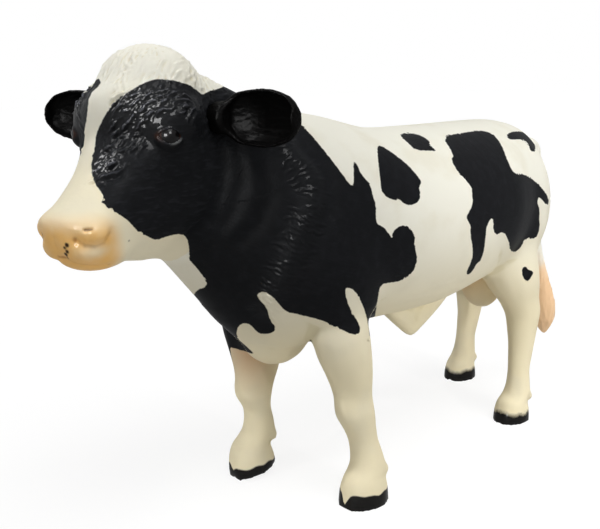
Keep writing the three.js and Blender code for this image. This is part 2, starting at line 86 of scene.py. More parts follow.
# Body skin
# Torso, head and four legs are soft PVC mouldings, plugged together and sprayed as one, so no seam shows.
# One skin is drawn over their solids, rubbed smooth and worked in relief, then parted again at the plugs.
HEAD_PLACE = np.array([-6.6, -49.8, 79.0])
HEAD_TURN = math.radians(14)
NECK_SEAM = np.array([-6.84, -48.83, 75.0])
NECK_AXIS = np.array([0.111, -0.907, 0.408])
MIRROR = np.array([-1.0, 1.0, 1.0])
SKIN_CELL = 0.55
SEAM_CLOSING = 0.2
MERGE = 1e-6
BODY_NODES = ["torso", "head", "left_foreleg", "right_foreleg", "left_hind_leg", "right_hind_leg"]
EYE_NODES = ["left_eye", "right_eye"]


def skin_over(name, nodes, cell, closing):
    """The outer skin over some solids, as a mesh of even quads. Cell and closing are in millimetres."""
    solids = bmesh.new()
    for node in nodes:
        solids.from_mesh(frame["nodes"][node].data)
    bmesh.ops.remove_doubles(solids, verts=solids.verts, dist=MERGE)
    solids.normal_update()
    for vert in solids.verts:
        vert.co += vert.normal * (closing * MM)
    rough = bpy.data.meshes.new("solids")
    solids.to_mesh(rough)
    solids.free()
    block = bpy.data.objects.new("solids", rough)
    bpy.context.scene.collection.objects.link(block)
    remesh = block.modifiers.new("skin", "REMESH")
    remesh.mode = "VOXEL"
    remesh.voxel_size = cell * MM
    skin = bmesh.new()
    skin.from_object(block, bpy.context.evaluated_depsgraph_get())
    bpy.data.objects.remove(block)
    top = max(skin.verts, key=lambda vert: vert.co.z)
    outer = {top}
    reached = [top]
    while reached:
        for edge in reached.pop().link_edges:
            for vert in edge.verts:
                if vert not in outer:
                    outer.add(vert)
                    reached.append(vert)
    bmesh.ops.delete(skin, geom=[vert for vert in skin.verts if vert not in outer], context="VERTS")
    mesh = bpy.data.meshes.new(name)
    skin.to_mesh(mesh)
    skin.free()
    return mesh


def mesh_places(mesh):
    """The figure's own millimetres: from the ground, under the spine, with the tail seat 58 behind."""
    flat = np.empty(len(mesh.vertices) * 3)
    mesh.vertices.foreach_get("co", flat)
    return (flat.reshape(-1, 3) - figure_origin) / MM


def mesh_normals(mesh):
    flat = np.empty(len(mesh.vertices) * 3)
    mesh.vertices.foreach_get("normal", flat)
    return flat.reshape(-1, 3)


def move_to(mesh, places):
    mesh.vertices.foreach_set("co", (places * MM + figure_origin).ravel())
    mesh.update()


def head_places(places):
    """Millimetres in the head's own frame: left, back and up from the nape."""
    turned = places - HEAD_PLACE
    left = turned[:, 0] * math.cos(HEAD_TURN) + turned[:, 1] * math.sin(HEAD_TURN)
    rear = turned[:, 1] * math.cos(HEAD_TURN) - turned[:, 0] * math.sin(HEAD_TURN)
    return np.stack([left, rear, turned[:, 2]], axis=1)


def from_head(steps):
    """Steps in the head's own frame, as steps in the figure's."""
    left = steps[:, 0] * math.cos(HEAD_TURN) - steps[:, 1] * math.sin(HEAD_TURN)
    rear = steps[:, 0] * math.sin(HEAD_TURN) + steps[:, 1] * math.cos(HEAD_TURN)
    return np.stack([left, rear, steps[:, 2]], axis=1)


def evened(mesh, chosen, rounds):
    """Places with the chosen vertices drawn half way to the mean of their neighbours, round after round."""
    ends = np.empty(len(mesh.edges) * 2, np.int32)
    mesh.edges.foreach_get("vertices", ends)
    first, second = ends.reshape(-1, 2).T
    size = len(mesh.vertices)
    places = mesh_places(mesh)
    links = np.bincount(first, minlength=size) + np.bincount(second, minlength=size)
    for _ in range(rounds):
        for axis in range(3):
            column = places[:, axis]
            total = np.bincount(first, column[second], size) + np.bincount(second, column[first], size)
            places[:, axis] = np.where(chosen, (column + total / links) / 2, column)
    return places


def rub(mesh, chosen, rounds):
    """Rubs the chosen vertices smooth."""
    move_to(mesh, evened(mesh, chosen, rounds))


def route_distance(places, route):
    """Distance from a route of straight runs, how far along it the nearest point lies, and that point."""
    nearest = np.full(len(places), np.inf)
    travelled = np.zeros(len(places))
    touched = np.zeros((len(places), 3))
    walked = 0.0
    for start, end in zip(route[:-1], route[1:]):
        start = np.array(start, float)
        run = np.array(end, float) - start
        share = np.clip((places - start) @ run / (run @ run), 0, 1)
        point = start + share[:, None] * run
        gap = np.linalg.norm(places - point, axis=1)
        closer = gap < nearest
        nearest[closer] = gap[closer]
        touched[closer] = point[closer]
        travelled[closer] = walked + share[closer] * np.linalg.norm(run)
        walked += np.linalg.norm(run)
    return nearest, travelled, touched


def band(values, middle, width):
    """1 at the middle of a band of values, fading out over its width."""
    return np.exp(-(((values - middle) / width) ** 2))


def ridge(places, route, width):
    """1 on a route, fading out over its width."""
    return band(route_distance(places, route)[0], 0, width)


def handed(places):
    """What turns steps on the left half into steps on the half that each place lies in."""
    return np.where(places[:, :1] < 0, MIRROR, 1)


def left_half(places):
    """Places with the right half of the figure folded over onto the left."""
    return places * handed(places)


# The skin is rubbed from each height up, for so many rounds, and made finer on the head and along the ruff
SOLE_EDGE = 0.4
HOOF_TOP = 7.5
LEG_TOP = 42.0
RUBBING = [(SOLE_EDGE, 3), (HOOF_TOP, 9), (LEG_TOP, 12)]
TRUNK_LOW = LEG_TOP + 2
TRUNK_FRONT = 6.0
TRUNK_ROUNDS = 60
FACE_BACK = -2.0
FACE_MARGIN = 1.0
FACE_ROUNDS = 6
RUFF_REACH = 6.0
SHOULDER_RIDGE = [
    (9, -40, 83), (13.9, -39.4, 75.8), (15.7, -37.1, 73), (17.1, -36.4, 70), (17.6, -37.3, 66.1),
    (17.1, -39.2, 61.9), (15.9, -40.9, 57.1), (14.4, -41.8, 52.7), (10, -43, 46),
]


def fine_parts(places, margin):
    """Whether places lie on the head, or along the shoulder's ruff."""
    forward = (places - NECK_SEAM) @ NECK_AXIS
    ruff = route_distance(left_half(places), SHOULDER_RIDGE)[0] < RUFF_REACH
    return (forward > FACE_BACK - margin) | ruff


skin_mesh = skin_over("skin", BODY_NODES + EYE_NODES, SKIN_CELL, SEAM_CLOSING)
places = mesh_places(skin_mesh)
for height, rounds in RUBBING:
    rub(skin_mesh, places[:, 2] > height, rounds)
trunk = (places[:, 2] > TRUNK_LOW) & ((places - NECK_SEAM) @ NECK_AXIS < TRUNK_FRONT)
rub(skin_mesh, trunk, TRUNK_ROUNDS)
skin = bmesh.new()
skin.from_mesh(skin_mesh)
fine_verts = {vert for vert, fine in zip(skin.verts, fine_parts(places, 0)) if fine}
fine_edges = [edge for edge in skin.edges if fine_verts.issuperset(edge.verts)]
bmesh.ops.subdivide_edges(skin, edges=fine_edges, cuts=1, use_grid_fill=True)
skin.to_mesh(skin_mesh)
skin.free()
rub(skin_mesh, fine_parts(mesh_places(skin_mesh), FACE_MARGIN), FACE_ROUNDS)


def swell(mesh, amount):
    """Moves every vertex along its normal by its own amount in millimetres."""
    move_to(mesh, mesh_places(mesh) + mesh_normals(mesh) * amount[:, None])


def lump(places, middle, half_sizes):
    """1 at the middle of an egg-shaped lump, fading out past its three half sizes."""
    return np.exp(-(((places - np.array(middle)) / np.array(half_sizes)) ** 2).sum(axis=1))


def raised(places, middle, half_sizes, height):
    return height * lump(places, middle, half_sizes)


def grooved(places, route, depth, width):
    return -depth * ridge(places, route, width)


def smoothstep(low, high, values):
    share = np.clip((values - low) / (high - low), 0, 1)
    return share * share * (3 - 2 * share)


# Head relief, in the head's own millimetres
# A lump has its middle, half sizes and height, and a groove its route, depth and width.
FOREHEAD = ((0, -18, 9), (7, 5, 4), 0.8)
BROW = ((10.5, -12.5, 5.5), (4, 5.5, 2.4), 0.7)
CHEEK_HOLLOW = ((9.5, -19.5, -6), (3.5, 4.5, 4), -0.7)
NOSE_TOP = ((3.5, -32, -12.2), (3.5, 2.5, 1.6), 0.4)
JAW_CREASE = (
    [(10, -9.3, -16.8), (11.7, -5.9, -14.4), (13.3, -4.9, -9.8), (13.7, -4.1, -5.4), (13, -3.5, -1)],
    0.7, 1.5,
)
LIP_CLEFT = ([(0, -33.6, -14.8), (0, -33.0, -17.6)], 0.15, 0.8)
MOUTH_LINE = (
    [
        (-0.9, -32.2, -18.4), (1.4, -31.9, -18.9), (2.9, -30.7, -19.5), (4.1, -28.4, -20.1),
        (4.6, -25.7, -20.4),
    ],
    0.22, 0.8,
)
KNOB_FOOT = (
    [
        (4.6, -32.4, -14.9), (5.8, -31.6, -15.9), (6.9, -30.2, -16.3), (7.6, -28.4, -15.9),
        (8.2, -27.2, -14.4),
    ],
    0.4, 1.0,
)
NOSTRIL = ([(6.2, -31.6, -13.1), (6.9, -31.4, -13.0), (7.4, -31.1, -12.9)], 0.6, 0.28)
head = head_places(mesh_places(skin_mesh))
relief = raised(head, *FOREHEAD)
for side in (head, head * MIRROR):
    for form in (BROW, CHEEK_HOLLOW, NOSE_TOP):
        relief += raised(side, *form)
    relief += grooved(side, *JAW_CREASE)
swell(skin_mesh, relief)
head = head_places(mesh_places(skin_mesh))
relief = grooved(head, *LIP_CLEFT)
for side in (head, head * MIRROR):
    for groove in (MOUTH_LINE, KNOB_FOOT, NOSTRIL):
        relief += grooved(side, *groove)
swell(skin_mesh, relief)

# Neck and flank relief, in the figure's own millimetres
# A groove with a negative depth stands out as a ridge.
RUFF_CREST = (SHOULDER_RIDGE, -0.8, 2.2)
RUFF_FOOT = (SHOULDER_RIDGE, 0.5, 2.0)
RUFF_FOOT_BEHIND = np.array([0, 4.0, 0])
FOLD_WIDTH = 1.7
NECK_FOLDS = [
    ([(8.6, -47.9, 79), (9.1, -47.9, 76.4), (9.9, -48, 71.3), (8.8, -49.6, 65.7), (7.4, -50.9, 62.8)],
     0.3),
    ([(11.2, -46, 74.8), (11.7, -46, 69.8), (10.4, -47.7, 64.4), (8.4, -49.6, 61.3)], -0.2),
    ([(11.8, -44.2, 76), (12.4, -44.2, 73.3), (13.5, -43.9, 68.3), (12, -45.8, 63.2), (9.4, -48.3, 59.8)],
     0.3),
]
FLANK_FOLD = ([(20, 17, 52), (19, 22, 46), (15, 27, 41)], 0.6, 2.0)
KNEES = [(16.2, -28.5, 20.5), (-8.6, -36.5, 21)]
HOCKS = [(12.6, 44.5, 28), (-14.1, 57.5, 28)]
LEG_KNOB = ((3.2, 2.6, 3.0), 0.6)
own = mesh_places(skin_mesh)
relief = np.zeros(len(own))
for side in (own, own * MIRROR):
    relief += grooved(side, *RUFF_CREST)
    relief += grooved(side - RUFF_FOOT_BEHIND, *RUFF_FOOT)
    for route, depth in NECK_FOLDS:
        relief += grooved(side, route, depth, FOLD_WIDTH)
    relief += grooved(side, *FLANK_FOLD)
for middle in KNEES + HOCKS:
    relief += raised(own, middle, *LEG_KNOB)
swell(skin_mesh, relief)

# Curls on the poll, and wet strands on the forehead and the ruff
# Hair has its count, its length, width and height, and how far it strays from its flow in radians.
CURL_SEED = 11
STRAND_STEPS = (0, 0.33, 0.67, 1)
STRAND_LENGTHS = (0.6, 1.2)
STRAND_BEND = 0.25
STRAND_END = 0.04
TROUGH_DEPTH = 0.45
TROUGH_WIDTH = 2.2
curl_random = np.random.default_rng(CURL_SEED)


def strands(places, normals, chosen, flow, hair):
    """Short raised strands on the chosen skin, laid along a flow and each bent to one side."""
    count, length, width, height, spread = hair
    relief = np.zeros(len(places))
    for pick in curl_random.choice(np.flatnonzero(chosen), count):
        root = places[pick]
        normal = normals[pick]
        turn = curl_random.uniform(-spread, spread)
        lay = flow[pick] - normal * (normal @ flow[pick])
        lay /= np.linalg.norm(lay)
        across = np.cross(normal, lay)
        along = lay * math.cos(turn) + across * math.sin(turn)
        aside = across * math.cos(turn) - lay * math.sin(turn)
        bend = curl_random.uniform(-STRAND_BEND, STRAND_BEND) * length
        reach = length * curl_random.uniform(*STRAND_LENGTHS)
        near = np.flatnonzero(np.abs(places - root).max(axis=1) < reach)
        route = [
            root + along * reach * (step - 0.5) + aside * bend * 4 * step * (1 - step)
            for step in STRAND_STEPS
        ]
        gap, travelled, _ = route_distance(places[near], route)
        taper = np.sqrt(np.sin(np.pi * np.clip(travelled / reach, STRAND_END, 1 - STRAND_END)))
        crest = band(gap, 0, width) - TROUGH_DEPTH * band(gap, 0, TROUGH_WIDTH * width)
        relief[near] += height * taper * crest
    return relief


def even_flow(places, direction):
    return np.tile(np.array(direction, float), (len(places), 1))


def within(places, low, high):
    """Whether places lie in a box between two corners."""
    return ((places > np.array(low)) & (places < np.array(high))).all(axis=1)


POLL_HAIR = (260, 4.5, 0.3, 0.24, 0.7)
BROW_HAIR = (190, 2.8, 0.32, 0.4, 0.35)
TEMPLE_HAIR = (90, 3.5, 0.35, 0.35, 0.4)
SHEEN_HAIR = (56, 3.0, 0.34, 0.4, 0.2)
RUFF_HAIR = (360, 2.8, 0.24, 0.2, 0.25)
POLL_FLOW = (0.1, -0.6, -1.0)
FACE_FLOW = (0.62, 0.58, 0.49)
PAST = 99
POLL = ((-12, -18, 9), (12, 3, PAST))
FOREBROW = ((-PAST, -PAST, -1), (PAST, -17, 9.5))
REAR_BROW = ((-PAST, -17, 3), (PAST, -12, 9.5))
TEMPLE = ((12.5, -4, 5), (4, 5, 6))
TEMPLE_EDGE = 0.35
SHEEN = (2.9, -23, -3.2)
SHEEN_SIZE = (3.2, 3.4, 4.0)
SHEEN_EDGE = 0.4
SHEEN_TOP = 3
BLAZE_MIDDLE = -2.5
BLAZE_HALF = 4.5
LID_SIZE = (4.8, 4.8, 4.8)
LID_EDGE = 0.37
RUFF_ROOTS = (0.2, 3.5)
eye_centres = {}
for node in EYE_NODES:
    low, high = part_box(node)
    eye_centres[node] = (np.array((low + high) / 2) - figure_origin) / MM
calm_normals = mesh_normals(skin_mesh)
head = head_places(mesh_places(skin_mesh))
facing = head_places(calm_normals + HEAD_PLACE)
off_blaze = np.abs(head[:, 0] - BLAZE_MIDDLE) > BLAZE_HALF
lids = sum(lump(head, head_places(centre[None])[0], LID_SIZE) for centre in eye_centres.values())
brow = (within(head, *FOREBROW) | within(head, *REAR_BROW)) & off_blaze & (lids < LID_EDGE)
temple = lump(left_half(head), *TEMPLE) > TEMPLE_EDGE
sheen = (lump(left_half(head), SHEEN, SHEEN_SIZE) > SHEEN_EDGE) & (head[:, 2] < SHEEN_TOP) & off_blaze
face_flow = even_flow(head, FACE_FLOW) * handed(head)
relief = strands(head, facing, within(head, *POLL), even_flow(head, POLL_FLOW), POLL_HAIR)
relief += strands(head, facing, brow, face_flow, BROW_HAIR)
relief += strands(head, facing, temple, face_flow, TEMPLE_HAIR)
relief += strands(head, facing, sheen, face_flow, SHEEN_HAIR)
swell(skin_mesh, relief)
own = mesh_places(skin_mesh)
ruff_gap, ruff_along, ruff_point = route_distance(left_half(own), SHOULDER_RIDGE)
ruff_flow = (left_half(own) - ruff_point) * handed(own)
ruff = (ruff_gap > RUFF_ROOTS[0]) & (ruff_gap < RUFF_ROOTS[1])
swell(skin_mesh, strands(own, mesh_normals(skin_mesh), ruff, ruff_flow, RUFF_HAIR))

# Eyelids: the skin is drawn back behind the eyeball in an almond slit and lies just over it around the slit
EYE_RADIUS = 2.6
EYE_OUT = np.array([0.83, -0.55, 0.08])
EYE_OUT /= np.linalg.norm(EYE_OUT)
EYE_REARWARD = np.array([0.55, 0.83, 0.0])
EYE_UPWARD = np.cross(EYE_OUT, EYE_REARWARD)
EYE_TILT = math.radians(-4)
EYE_SLIT = (1.85, 1.05)
SLIT_EDGE = (1.08, 0.9)
SLIT_DEPTH = 0.45
LID_THICKNESS = 0.28
LID_SPREAD = (5.2, 2.9)
LID_BACK = -0.5
LID_PAINT = (1.0, 0.35)
LID_CORNER = (-0.6, -2.4)
RIM_PAINT = (1.05, 0.2)
RIM_LOW = (-0.2, -0.8)
RIM_REAR = (-0.4, 0.6)
TINY = 1e-9
lid_colour = np.zeros(len(skin_mesh.vertices))
eye_rim = np.zeros(len(skin_mesh.vertices))
for node, flip in zip(EYE_NODES, (np.ones(3), MIRROR)):
    own = mesh_places(skin_mesh)
    away = (head_places(own) - head_places(eye_centres[node][None])) * flip
    across = away @ EYE_REARWARD
    rise = away @ EYE_UPWARD
    level = across * math.cos(EYE_TILT) + rise * math.sin(EYE_TILT)
    height = rise * math.cos(EYE_TILT) - across * math.sin(EYE_TILT)
    wide = (level / EYE_SLIT[0]) ** 2
    slit = np.sqrt(wide + (height / EYE_SLIT[1]) ** 2 * (1 + wide))
    reach = np.linalg.norm(away, axis=1)
    near = smoothstep(*LID_SPREAD, reach) * (away @ EYE_OUT > LID_BACK)
    inside = smoothstep(*SLIT_EDGE, slit)
    lid = np.maximum(reach, EYE_RADIUS + LID_THICKNESS)
    target = lid * (1 - inside) + (EYE_RADIUS - SLIT_DEPTH) * inside
    wanted = reach * (1 - near) + target * near
    step = away * (wanted / np.maximum(reach, TINY) - 1)[:, None] * flip
    move_to(skin_mesh, own + from_head(step))
    corner = band(slit, *LID_PAINT) * near * smoothstep(*LID_CORNER, level)
    lid_colour = np.maximum(lid_colour, corner)
    # The lower lid's rim is glossy and carries a painted highlight
    rim = band(slit, *RIM_PAINT) * near * smoothstep(*RIM_LOW, height) * smoothstep(*RIM_REAR, level)
    eye_rim = np.maximum(eye_rim, rim)

# Coat layout: black patches as outlines in the viewpoint's pixels
# Where the viewpoint can't see, the mantle is mirrored, and the rest are outlines to the rear and up.
MANTLE = [
    (160, 79), (169, 79.5), (180, 82), (190, 85), (198, 91), (202, 95), (207, 92), (214, 90), (225, 86),
    (234, 80), (244, 88), (275, 100), (302, 125), (314, 138), (327, 154), (340, 171), (353, 189),
    (354, 175), (353, 161), (357, 164), (361, 174), (371, 185), (373, 197), (376, 204), (376, 224),
    (383, 226), (389, 234), (393, 239), (392, 232), (401, 225), (410, 227), (415, 236), (415, 249),
    (418, 260), (412, 273), (401, 281), (388, 283), (381, 284), (378, 297), (374, 323), (370, 340),
    (368, 323), (364, 308), (356, 291), (347, 287), (345, 291), (347, 301), (353, 314), (360, 325),
    (360, 334), (353, 335), (336, 327), (321, 320), (301, 315), (286, 312), (278, 303), (273, 297),
    (264, 291), (257, 294), (258, 298), (267, 308), (270, 320), (276, 328), (273, 333), (262, 334.5),
    (256, 331), (250, 324), (241, 323), (236, 331), (238, 339), (247, 347), (256, 355), (244, 351),
    (222, 345), (190, 300), (198, 289), (204, 288), (208, 283), (197, 268), (189, 260), (189, 247),
    (187, 238), (182, 234), (171, 235), (160, 239), (154, 240), (145, 235), (136, 230), (130, 222),
    (117, 213), (106, 206), (100, 201), (105, 200), (101, 192), (95, 184), (93, 177), (91, 171),
    (92, 160), (95, 147), (96, 134), (101, 123), (108, 110), (117, 99), (130, 91), (143, 83), (156, 79),
]
RIGHT_FACE = [
    (95, 75), (101, 81), (100, 85), (89, 95), (87, 117), (85, 128), (83, 138), (78, 152), (73, 164),
    (40, 175), (20, 60), (80, 60),
]
DIAMOND = [
    (377, 147), (380, 145), (390, 151), (398, 157), (408, 165), (416, 174), (422, 182), (419, 187),
    (420, 192), (420, 201), (410, 206), (403, 203), (398, 198), (396, 201), (382, 195), (380, 178),
    (378, 160),
]
TOP_PATCH = [
    (399, 135), (404, 133), (418, 134), (427, 139), (430, 142), (429, 144), (437, 151), (430, 151),
    (415, 150), (408, 143),
]
HIP_PATCH = [
    (442, 136), (462, 133), (480, 130), (492, 133), (501, 143), (508, 162), (514, 174), (524, 174),
    (534, 180), (542, 188), (549, 198), (548, 207), (539, 196), (537, 202), (540, 211), (539, 216),
    (540, 228), (536, 239), (525, 238), (522, 246), (516, 252), (510, 251), (509, 242), (504, 231),
    (494, 236), (493, 219), (491, 218), (486, 228), (485, 246), (481, 261), (477, 263), (472, 272),
    (468, 275), (466, 273), (472, 260), (473, 250), (470, 232), (471, 226), (466, 218), (468, 214),
    (473, 204), (472, 194), (472, 187), (458, 172), (451, 160), (454, 155),
]
TAIL_HOOK = [
    (506, 136), (510, 132), (520, 131), (528, 134), (534, 141), (536, 151), (531, 152), (528, 144),
    (523, 139), (510, 140),
]
THIGH_SPOT = [
    (522, 274), (522, 268), (526, 266), (528, 270), (534, 271), (531, 278), (527, 282), (523, 278),
]
FLANK_FAR = [
    (-9, 75), (0, 79), (9, 77), (13, 68), (8, 57), (9, 49), (1, 46), (-3, 53), (-11, 55), (-14, 64),
]
HIP_FAR = [
    (20, 80), (36, 80), (46, 72), (48, 62), (41, 54), (43, 46), (36, 44), (31, 51), (25, 55), (26, 63),
    (19, 70),
]
SPOT_FAR = [(-4, 42), (1, 44), (5, 41), (1, 38), (-4, 38)]
ELBOW_FAR = [(-44, 46), (-30, 48), (-24, 38), (-28, 27), (-34, 22), (-39, 28)]
ELBOW_EDGE = -13.0
ELBOW_REAR = -22.0
FAR_EDGE = -4.0
BELLY_SIDE = 46.0
RIGHT_CHEEK = (-8.7, -6.3)
FACE_MIDDLE = 2.0
HEAD_ROOT = -4.0
PATCHES_LOW = 20.0
SEEN_EDGE = (-0.05, 0.08)
BARE = -9.0
CORNER_CUT = 0.25


def rounded(outline):
    """An outline with its corners cut off, a share of each side at a time."""
    corners = np.array(outline, float)
    after = np.roll(corners, -1, axis=0)
    starts = corners * (1 - CORNER_CUT) + after * CORNER_CUT
    ends = corners * CORNER_CUT + after * (1 - CORNER_CUT)
    return np.stack([starts, ends], axis=1).reshape(-1, 2)


def outline_depth(points, outline):
    """How deep each point lies inside a closed outline; negative outside."""
    corners = rounded(outline)
    inside = np.zeros(len(points), bool)
    nearest = np.full(len(points), np.inf)
    for start, end in zip(corners, np.roll(corners, -1, axis=0)):
        run = end - start
        share = np.clip((points - start) @ run / (run @ run), 0, 1)
        gap = np.linalg.norm(points - start - share[:, None] * run, axis=1)
        nearest = np.minimum(nearest, gap)
        spans = (start[1] > points[:, 1]) != (end[1] > points[:, 1])
        reach = start[0] + (points[:, 1] - start[1]) * run[0] / (run[1] if run[1] else TINY)
        inside ^= spans & (points[:, 0] < reach)
    return np.where(inside, nearest, -nearest)


def picture_points(places):
    """Where places fall in the viewpoint's picture, and how many millimetres a pixel spans there."""
    view = np.array(camera.matrix_world.inverted())
    seen = (places * MM + figure_origin) @ view[:3, :3].T + view[:3, 3]
    depth = -seen[:, 2]
    across = PICTURE[0] / 2 + FOCAL_PIXELS * seen[:, 0] / depth
    down = PICTURE[1] / 2 - FOCAL_PIXELS * seen[:, 1] / depth
    return np.stack([across, down], axis=1), depth / FOCAL_PIXELS / MM


own = mesh_places(skin_mesh)
head = head_places(own)
normals = mesh_normals(skin_mesh)
on_head = (own - NECK_SEAM) @ NECK_AXIS
pixels, pixel_size = picture_points(own)
to_view = VIEW_FROM - own
to_view /= np.linalg.norm(to_view, axis=1)[:, None]
seen = smoothstep(*SEEN_EDGE, (calm_normals * to_view).sum(axis=1))
seen *= np.where(on_head > 0, smoothstep(*RIGHT_CHEEK, head[:, 0]), 1)
near_side = np.full(len(own), BARE)
for outline in (MANTLE, DIAMOND, TOP_PATCH, HIP_PATCH, TAIL_HOOK, THIGH_SPOT):
    near_side = np.maximum(near_side, outline_depth(pixels, outline) * pixel_size)
right_face = np.where(head[:, 0] < FACE_MIDDLE, outline_depth(pixels, RIGHT_FACE) * pixel_size, BARE)
near_side = np.where(on_head > 0, np.maximum(near_side, right_face), near_side)
blaze_shift = np.array([2 * BLAZE_MIDDLE, 0, 0])
flipped_head = from_head(head * MIRROR + blaze_shift) + HEAD_PLACE
flipped = np.where(on_head[:, None] > HEAD_ROOT, flipped_head, own * MIRROR)
far_pixels, far_size = picture_points(flipped)
far_side = outline_depth(far_pixels, MANTLE) * far_size
left_under = (own[:, 0] > FAR_EDGE) & (own[:, 1] > ELBOW_REAR) & (own[:, 2] < BELLY_SIDE)
far_side = np.where(left_under, BARE, far_side)
side_view = own[:, 1:]
for outline in (FLANK_FAR, HIP_FAR, SPOT_FAR):
    far_side = np.maximum(far_side, np.minimum(outline_depth(side_view, outline), FAR_EDGE - own[:, 0]))
black = near_side * seen + far_side * (1 - seen)
elbow = np.minimum(outline_depth(side_view, ELBOW_FAR), ELBOW_EDGE - own[:, 0])
black = np.maximum(black, np.where(own[:, 1] < 0, elbow, BARE))
black = np.where(own[:, 2] < PATCHES_LOW, BARE, black)

# Hoof paint, with a wavy edge that dips at the cleft
# A hoof has its place to the left and rear, its heel's lift in degrees, and how softly its paint ends.
HOOVES = [(17.6, -24.3, 0, 1.0), (-10, -33.2, 12, 1.6), (14, 34.5, 0, 5.0), (-15.5, 50, 0, 5.0)]
HOOF_TOE = 6.2
HOOF_PAINT = 3.0
HOOF_REACH = 12.0
WAVE_ACROSS = (0.35, 0.9)
WAVE_ALONG = (0.15, 1.9)
LIFT_SLOPE = 0.012
CLEFT_DIP = 1.8
CLEFT_WIDTH = 0.8
CLEFT_LENGTH = (3.5, 0.5)
hoof = np.full(len(own), BARE)
for left, rear, lift, softness in HOOVES:
    place = own - np.array([left, rear - HOOF_TOE, 0])
    tilt = math.radians(-lift)
    up = place[:, 1] * math.sin(tilt) + place[:, 2] * math.cos(tilt)
    back = place[:, 1] * math.cos(tilt) - place[:, 2] * math.sin(tilt)
    wave = WAVE_ACROSS[0] * np.sin(place[:, 0] * WAVE_ACROSS[1] + left)
    wave += WAVE_ALONG[0] * np.sin(back * WAVE_ALONG[1]) - LIFT_SLOPE * lift * back
    cleft = CLEFT_DIP * band(place[:, 0], 0, CLEFT_WIDTH) * smoothstep(*CLEFT_LENGTH, back) / softness
    near_hoof = np.hypot(place[:, 0], back - HOOF_TOE) < HOOF_REACH
    painted = (HOOF_PAINT + wave - cleft - up) / softness
    hoof = np.where(near_hoof, np.maximum(hoof, painted), hoof)

# Muzzle paint, nostrils and specks, in the head's own millimetres
MUZZLE_TOP = -11.6
MUZZLE_TOP_FADE = (-2.0, 3.5)
MUZZLE_BACK = -25.4
MUZZLE_BACK_FADE = (-2.4, 2.6)
MUZZLE_MIDDLE = -15.0
MUZZLE_SLOPE = 0.3
# Painted highlight: the peach gives way to the pale coat on the upper lip
LIP_HIGHLIGHT = ((6.4, -29.9, -17.1), (3.2, 3.0, 1.3), 0.65)
NOSTRIL_PAINT = 0.2
SPECKS = [
    ((2.8, -32.8, -15.7), 0.42), ((2.1, -32.7, -16.2), 0.34), ((2.4, -32.5, -16.9), 0.4),
    ((1.7, -32.3, -17.5), 0.42), ((1.4, -32.1, -18.4), 0.36), ((6.5, -22.4, -16.4), 0.26),
]
peach = smoothstep(*MUZZLE_TOP_FADE, MUZZLE_TOP - head[:, 2])
ahead_of_back = MUZZLE_BACK - head[:, 1] - MUZZLE_SLOPE * (head[:, 2] - MUZZLE_MIDDLE)
peach *= smoothstep(*MUZZLE_BACK_FADE, ahead_of_back)
# Painted highlight on the upper lip
peach *= 1 - raised(left_half(head), *LIP_HIGHLIGHT)
speck = np.full(len(own), BARE)
for side in (head, head * MIRROR):
    speck = np.maximum(speck, NOSTRIL_PAINT - route_distance(side, NOSTRIL[0])[0])
for middle, size in SPECKS:
    speck = np.maximum(speck, size - np.linalg.norm(head - np.array(middle), axis=1))

# Blushes, wet gloss, bare cream PVC low down, the hair's lay, and how hollow the skin is
GROIN = ((-4, 40, 38), (10, 12, 8), 0.8)
# Umber at the right foreleg's top under the brisket: brown paint and painted shade
ARMPIT_SHADE = ((-8, -34.5, 30), (7, 6, 7), 0.6)
BROW_GLOSS = ((6, -16, 6.5), (8, 7, 4.8))
SHEEN_GLOSS = (2.2, 2.4, 2.6)
RUFF_GLOSS = 0.2
RUFF_GLOSS_WIDTH = 3
BODY_CREAM = (66, 26)
HEAD_CREAM = (8, -8)
HEAD_CREAM_MOST = 0.75
HOLLOW_ROUNDS = 12
blush = raised(own, *GROIN)
shade = raised(own, *ARMPIT_SHADE)
wet = lump(left_half(head), *BROW_GLOSS) + lump(left_half(head), SHEEN, SHEEN_GLOSS)
ruff_wet = RUFF_GLOSS * band(ruff_gap, 0, RUFF_GLOSS_WIDTH) * (on_head < 0)
wet = np.clip(np.maximum(wet * (on_head > HEAD_ROOT), ruff_wet), 0, 1)
head_cream = HEAD_CREAM_MOST * smoothstep(*HEAD_CREAM, head[:, 2])
cream = np.where(on_head < 0, smoothstep(*BODY_CREAM, own[:, 2]), head_cream)
lay = np.stack([ruff_along, ruff_gap, np.zeros(len(own))], axis=1)
everywhere = np.ones(len(own), bool)
hollow = ((evened(skin_mesh, everywhere, HOLLOW_ROUNDS) - own) * normals).sum(axis=1)


def put_field(mesh, name, values):
    kind = "FLOAT_VECTOR" if values.ndim == 2 else "FLOAT"
    field = mesh.attributes.new(name, kind, "POINT")
    field.data.foreach_set("vector" if values.ndim == 2 else "value", values.astype(np.float32).ravel())


for name, values in (
    ("black", black), ("hoof", hoof), ("peach", peach), ("speck", speck), ("blush", blush),
    ("shade", shade), ("wet", wet), ("cream", cream), ("lid", lid_colour), ("rim", eye_rim),
    ("hollow", hollow), ("lay", lay), ("ahead", on_head), ("skin_normal", normals),
):
    put_field(skin_mesh, name, values)


